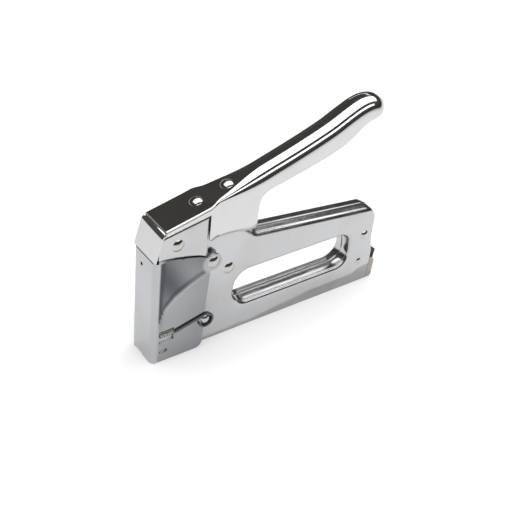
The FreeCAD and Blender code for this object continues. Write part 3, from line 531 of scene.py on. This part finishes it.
def cover_front():
    """The narrow front strip, flat in the plane x = 0, with a round hole near its top and a shallow step
    cut in its foot."""
    flat_half = COVER_HALF / MM - COVER_CORNER
    left, right, high = NOTCH
    side = np.linspace(COVER_TOP, 0, COVER_ROWS)
    edge = [(-flat_half, z) for z in side] + [(left, 0), (left, high), (right, high), (right, 0)]
    edge += [(flat_half, z) for z in side[::-1]]
    y, z, radius = STRIP_HOLE
    angle = np.linspace(0, 2 * math.pi, 24, endpoint=False)
    hole = np.column_stack([y + radius * np.cos(angle), z + radius * np.sin(angle)])
    flat, triangles = filled(np.array(edge), [hole], 1.2)
    return np.column_stack([np.zeros(len(flat)), flat]), triangles


def cover_corner(side):
    """A quarter round in plan between the strip and the cover's side, carried straight up."""
    turn = COVER_CORNER
    angle = np.linspace(0, math.pi / 2, 11)
    x = turn - turn * np.cos(angle)
    y = side * (COVER_HALF / MM - turn + turn * np.sin(angle))
    z = np.linspace(COVER_TOP, 0, COVER_ROWS)
    x, y = [np.broadcast_to(v[:, None], (len(angle), len(z))) for v in (x, y)]
    return np.stack([x, y, np.broadcast_to(z, x.shape)], -1), grid_faces(len(angle), len(z))


points, faces = joined([cover_side(-1), cover_corner(-1), cover_front(), cover_corner(1), cover_side(1)])
cover = new_piece("cover_nose", points, faces, "frame", COVER_PLATE)
give_sheet(cover, COVER_SHEET)
ease_edges(cover, 0.3)
place = np.empty(len(cover.data.vertices) * 3, np.float32)
cover.data.vertices.foreach_get("co", place)
place = place.reshape(-1, 3) / MM
# The cover's painted reflection and painted shade, stored per point as the tone attribute that its plate's
# colour reads.
tone = cover.data.attributes.new("tone", "FLOAT", "POINT")
tone.data.foreach_set("value", cover_painted_reflection(place[:, 0] - NOSE / MM, place[:, 2]).astype(np.float32))
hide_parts("nose_cover")

# ---- Squeeze handle ---------------------------------------------------------------------------

GRIP_END = (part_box("handle")[1].x - NOSE) / MM
TIP_ROUND = 8.4
TOP_LINE = np.array([
    (6.3, 88.3), (31, 94.3), (50, 99.6), (75, 107.7), (88, 112), (101, 116.6), (114, 121.7), (125, 127.2),
    (132, 130.3), (138, 131.8), (143, 131.7), (147.5, 130.2), (150.3, 127.6), (GRIP_END, 125.4),
])
CHEEK_FRONT = 33.4
PLATE_HALF, GRIP_NARROWING = 11.0, 2.0
PLATE_BEND, GRIP_BEND = 1.3, 6.3
LOW_LINE = np.array([
    (6.3, 86.2), (20, 88.2), (33, 90.6), (CHEEK_FRONT - 0.1, 90.7), (CHEEK_FRONT, 75.0),
    (33.8, 74.0), (35.2, 73.5), (50, 73.0), (58, 71.6), (62.6, 71.1), (64.3, 71.6), (65.2, 72.8),
    (65.5, 74.4), (65.6, 84.0), (66.0, 87.6), (67.0, 90.3), (68.8, 92.3), (71.6, 93.9), (76.0, 95.2),
    (84.6, 97.2), (97.8, 100.7), (111, 104.6), (120, 108.2), (126, 111.8), (131, 115.8), (135, 118.6),
    (139, 120.4), (143, 121.4), (147, 122.2), (150, 123.4), (GRIP_END, 124.6),
])


def through(knots, x):
    """A smooth line through the knots: cubic pieces whose slopes are the mean of their neighbours'."""
    kx, kz = knots.T
    slope = np.gradient(kz, kx)
    k = np.clip(np.searchsorted(kx, x) - 1, 0, len(kx) - 2)
    width = kx[k + 1] - kx[k]
    t = np.clip((x - kx[k]) / width, 0, 1)
    return ((2 * t ** 3 - 3 * t ** 2 + 1) * kz[k] + (t ** 3 - 2 * t ** 2 + t) * width * slope[k]
            + (3 * t ** 2 - 2 * t ** 3) * kz[k + 1] + (t ** 3 - t ** 2) * width * slope[k + 1])


def grip_half(x):
    """Half width: wide at the front plate, narrower along the grip, and a half round at the tip, where it
    is the square root of one less the square of the way into the round."""
    flat = PLATE_HALF - GRIP_NARROWING * smooth_step(33, 41, x)
    into = np.clip((x - (GRIP_END - TIP_ROUND)) / TIP_ROUND, 0, 1)
    return flat * np.maximum(np.sqrt(1 - into ** 2), 0.02)


def grip_round(x):
    """Radius of the section's top corners: a tight bend at the front, nearly half round on the grip."""
    return PLATE_BEND + GRIP_BEND * smooth_step(33, 70, x)


def grip_section():
    """The handle is one pressed channel: at each station along it two walls, two corner arcs and a flat
    top. Its lower edge drops at the cheeks and climbs back in a tight curve behind them."""
    tip = GRIP_END - TIP_ROUND
    x = np.concatenate([
        np.linspace(6.3, 33, 44), LOW_LINE[3:17, 0], np.linspace(36.5, 65, 60), np.linspace(65.5, 72, 30),
        np.linspace(72, tip, 150), tip + TIP_ROUND * np.sin(np.linspace(0.04, math.pi / 2, 24))])
    x = np.unique(np.round(x, 4))
    half, top = grip_half(x), through(TOP_LINE, x)
    low = np.interp(x, *LOW_LINE.T)
    turn = np.minimum(grip_round(x), np.minimum(half * 0.94, np.maximum(top - low, 0.5) * 0.92))
    angle = np.linspace(0, math.pi / 2, 18)
    share = np.linspace(0, 1, 10)[:-1]
    wall_z = low[:, None] + (top - turn - low)[:, None] * share
    wall_y = np.broadcast_to(half[:, None], wall_z.shape)
    arc_y = (half - turn)[:, None] + turn[:, None] * np.cos(angle)
    arc_z = (top - turn)[:, None] + turn[:, None] * np.sin(angle)
    flat_y = (half - turn)[:, None] * np.linspace(1, 0, 5)[1:]
    flat_z = np.broadcast_to(top[:, None], flat_y.shape)
    y = np.concatenate([wall_y, arc_y, flat_y], 1)
    z = np.concatenate([wall_z, arc_z, flat_z], 1)
    y = np.concatenate([-y, y[:, -2::-1]], 1)
    z = np.concatenate([z, z[:, -2::-1]], 1)
    return np.stack([np.broadcast_to(x[:, None], y.shape), y, z], -1), grid_faces(*y.shape)


points, faces = grip_section()
grip = new_piece("grip_handle", points, faces, "handle", HANDLE_PLATE, 40)
give_sheet(grip, HANDLE_SHEET)
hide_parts("handle")

# ---- Rivets -----------------------------------------------------------------------------------

SHANK = 1.8
BEHIND_SHEET = 0.02
ON_AXIS = 0.01

def dome_profile(face, radius, height, inner):
    """Half a rivet: a shank, a thin shoulder and a ball cap whose slope meets the sheet steeply."""
    ball = (radius ** 2 + height ** 2) / (2 * height)
    angle = np.linspace(math.asin(radius / ball), 0.0, 14)
    cap = np.column_stack([ball * np.sin(angle), face + height - ball + ball * np.cos(angle)])
    cap[-1, 0] = ON_AXIS
    under = face - BEHIND_SHEET
    return np.concatenate([[[ON_AXIS, inner], [SHANK, inner], [SHANK, under], [radius, under]], cap])


def rivet(name, node, face, radius, height, sides=(-1, 1), inner=0.0):
    """A rivet with a dome on each side, about the middle of the CAD node that it replaces."""
    parts = []
    for side in sides:
        profile = dome_profile(face, radius, height, inner)
        points, faces = turned(profile, middle(node))
        parts.append((points * [1, side, 1], faces))
    points, faces = joined(parts)
    piece = new_piece(name, points, faces, "frame", RIVET_PLATE)
    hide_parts(node)


rivet("pin_pivot", "pivot_pin", COVER_HALF / MM, 3.7, 1.5)
rivet("rivet_loop", "loop_rivet", REAR_HALF / MM, 3.7, 1.5)
rivet("rivet_keeper", "keeper_rivet", COVER_HALF / MM, 3.0, 1.5)
rivet("rivet_rear_upper", "rear_rivet_upper", REAR_HALF / MM, 3.0, 1.5)
rivet("rivet_rear_lower", "rear_rivet_lower", REAR_HALF / MM, 2.3, 0.9)
rivet("rivets_head", "head_rivets", HEAD_HALF / MM, 3.7, 1.5, inner=8.4)

# ---- Springs ----------------------------------------------------------------------------------


def helix(centre, axis, mean, turns, length, per_turn=28):
    """Points of a helix: a circle of the mean radius turned while it moves along its axis."""
    t = np.linspace(0, 1, int(turns * per_turn))
    angle = 2 * math.pi * turns * t
    a, b, c = mean * np.cos(angle), mean * np.sin(angle), length * t
    return np.asarray(centre) + (np.stack([a, b, c], -1) if axis == "z" else np.stack([c, a, b], -1))


def spring(name, node, body, line, wire, sides):
    """A round wire of the given radius along a line, in place of a CAD node."""
    points, faces = tube(line, wire, sides)
    piece = new_piece(name, points, faces, body, SPRING_WIRE, 60)
    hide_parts(node)
    return piece


POWER_FOOT, POWER_MEAN, POWER_TURNS, POWER_LENGTH, POWER_WIRE = (9.3, 0, 62.65), 3.8, 4.5, 19.7, 0.6
FEED_FRONT, FEED_MEAN, FEED_TURNS, FEED_LENGTH, FEED_WIRE = (20.4, 0, 5.4), 2.1, 36, 136.8, 0.25
power = helix(POWER_FOOT, "z", POWER_MEAN, POWER_TURNS, POWER_LENGTH)
power_piece = spring("spring_power", "power_spring", "frame", power, POWER_WIRE, 12)
feed = helix(FEED_FRONT, "x", FEED_MEAN, FEED_TURNS, FEED_LENGTH, 16)
feed_piece = spring("spring_feed", "feed_spring", "pusher", feed, FEED_WIRE, 6)
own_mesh(power_piece)
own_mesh(feed_piece)

KEEPER_WIRE_RADIUS = 0.7
KEEPER_COIL_WIRE, KEEPER_COIL_MEAN, KEEPER_COIL_TURNS, KEEPER_COIL_LENGTH = 0.45, 2.2, 6.5, 7.6
KEEPER_STANDOFF = 0.75
HOOK_ROUND, HOOK_TURN, HOOK_POINTS = 4.3, 4.8, 36
for side, label in ((-1, "left"), (1, "right")):
    level = side * (COVER_HALF / MM + KEEPER_STANDOFF)
    coil = helix((5.3, side * 8.65, 18.4), "x", KEEPER_COIL_MEAN, KEEPER_COIL_TURNS, KEEPER_COIL_LENGTH)
    start = np.array([13.6, level, 18.9])
    reach = np.array([KEEPER[0], level, KEEPER[1]]) - start
    lean = math.atan2(-reach[2], -reach[0]) - math.acos(HOOK_ROUND / np.linalg.norm(reach))
    angle = lean - np.linspace(0, HOOK_TURN, HOOK_POINTS)
    hook = np.stack([KEEPER[0] + HOOK_ROUND * np.cos(angle), np.full(HOOK_POINTS, level),
                     KEEPER[1] + HOOK_ROUND * np.sin(angle)], -1)
    straight = start + (hook[0] - start) * np.linspace(0, 1, 14)[:-1, None]
    arm = tube(np.concatenate([straight, hook]), KEEPER_WIRE_RADIUS, 12)
    points, faces = joined([tube(coil, KEEPER_COIL_WIRE, 8), arm])
    piece = new_piece("spring_keeper_" + label, points, faces, "frame", KEEPER_WIRE, 60)
    piece.data.materials.append(SPRING_WIRE)
    near_coil = np.array([p.center.x < NOSE + 13.0 * MM for p in piece.data.polygons])
    piece.data.polygons.foreach_set("material_index", near_coil.astype(np.int32))
    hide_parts("keeper_spring_" + label)

# ---- Floor, light and camera ------------------------------------------------------------------

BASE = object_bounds()[0].z
FLOOR_GLOW = 0.28
FLOOR_REACH = 1.3
LENS, SENSOR = 67.74, 36
CAMERA_TURN = (-39.01, 36.55, 6.64)
CAMERA_PLACE = (-0.2063 + NOSE, -0.34664, 0.37312)


def pale_floor():
    """A square floor under the tool, which gives off a little light of its own."""
    mesh = bpy.data.meshes.new("floor")
    corners = [(-FLOOR_REACH, -FLOOR_REACH, BASE), (FLOOR_REACH, -FLOOR_REACH, BASE),
               (FLOOR_REACH, FLOOR_REACH, BASE), (-FLOOR_REACH, FLOOR_REACH, BASE)]
    mesh.from_pydata(corners, [], [(0, 1, 2, 3)])
    floor = bpy.data.objects.new("floor", mesh)
    bpy.context.scene.collection.objects.link(floor)
    paint = bpy.data.materials.new("floor_paint")
    paint.use_nodes = True
    shader = paint.node_tree.nodes["Principled BSDF"]
    shader.inputs["Base Color"].default_value = (0.90, 0.90, 0.90, 1)
    shader.inputs["Roughness"].default_value = 0.9
    shader.inputs["Emission Color"].default_value = (1, 1, 1, 1)
    shader.inputs["Emission Strength"].default_value = FLOOR_GLOW
    floor.data.materials.append(paint)


def softbox(name, place, aim, size, power):
    """A rectangular lamp at a place, aimed at a point."""
    data = bpy.data.lights.new(name, "AREA")
    data.shape = "RECTANGLE"
    data.size, data.size_y = size
    data.energy = power
    lamp = bpy.data.objects.new(name, data)
    bpy.context.scene.collection.objects.link(lamp)
    lamp.location = place
    lamp.rotation_euler = (Vector(aim) - Vector(place)).to_track_quat("-Z", "Y").to_euler()


def studio_sky():
    """What the plating reflects: a pale foot, a dark band above the horizon and a dim, warm ceiling. A
    camera sees plain white instead."""
    world = bpy.data.worlds.new("studio")
    bpy.context.scene.world = world
    world.use_nodes = True
    nodes, links = world.node_tree.nodes, world.node_tree.links
    place = nodes.new("ShaderNodeTexCoord")
    split = nodes.new("ShaderNodeSeparateXYZ")
    ramp = nodes.new("ShaderNodeValToRGB")
    tones = [(0.0, 0.80), (0.03, 0.55), (0.07, 0.05), (0.30, 0.05), (0.52, 0.10), (0.62, 0.07), (1.0, 0.05)]
    while len(ramp.color_ramp.elements) < len(tones):
        ramp.color_ramp.elements.new(0.5)
    for element, (position, tone) in zip(ramp.color_ramp.elements, tones):
        element.position = position
        element.color = (tone, tone * 0.95, tone * 0.86, 1)
    links.new(place.outputs["Generated"], split.inputs["Vector"])
    links.new(split.outputs["Z"], ramp.inputs["Fac"])
    links.new(ramp.outputs["Color"], nodes["Background"].inputs["Color"])
    white = nodes.new("ShaderNodeBackground")
    white.inputs["Color"].default_value = (1, 1, 1, 1)
    choose = nodes.new("ShaderNodeMixShader")
    links.new(nodes.new("ShaderNodeLightPath").outputs["Is Camera Ray"], choose.inputs["Fac"])
    links.new(nodes["Background"].outputs["Background"], choose.inputs[1])
    links.new(white.outputs["Background"], choose.inputs[2])
    links.new(choose.outputs["Shader"], nodes["World Output"].inputs["Surface"])


def studio_camera():
    """The camera, turned by its azimuth, elevation and roll, in degrees."""
    azimuth, elevation, roll = np.radians(CAMERA_TURN)
    back = Vector((math.sin(azimuth) * math.cos(elevation), -math.cos(azimuth) * math.cos(elevation),
                   math.sin(elevation)))
    right = Vector((math.cos(azimuth), math.sin(azimuth), 0))
    up = back.cross(right)
    level_right = right * math.cos(roll) + up * math.sin(roll)
    level_up = up * math.cos(roll) - right * math.sin(roll)
    data = bpy.data.cameras.new("camera")
    data.lens, data.sensor_width = LENS, SENSOR
    camera = bpy.data.objects.new("camera", data)
    bpy.context.scene.collection.objects.link(camera)
    turn = Matrix((level_right, level_up, back)).transposed()
    camera.matrix_world = Matrix.Translation(CAMERA_PLACE) @ turn.to_4x4()
    bpy.context.scene.camera = camera


pale_floor()
studio_sky()
softbox("overhead", (0.20, 0.15, 1.10), (0.20, 0.15, 0.05), (2.2, 1.06), 17.2)
softbox("shoulder", (0.10, -0.86, 0.92), (0.10, 0, 0.10), (1.7, 0.28), 4.0)
softbox("back_strip", (0.9, 1.3, 0.95), (0, 0, 0.06), (1.0, 0.12), 0.5)
studio_camera()
bpy.context.scene.view_settings.view_transform = "Standard"
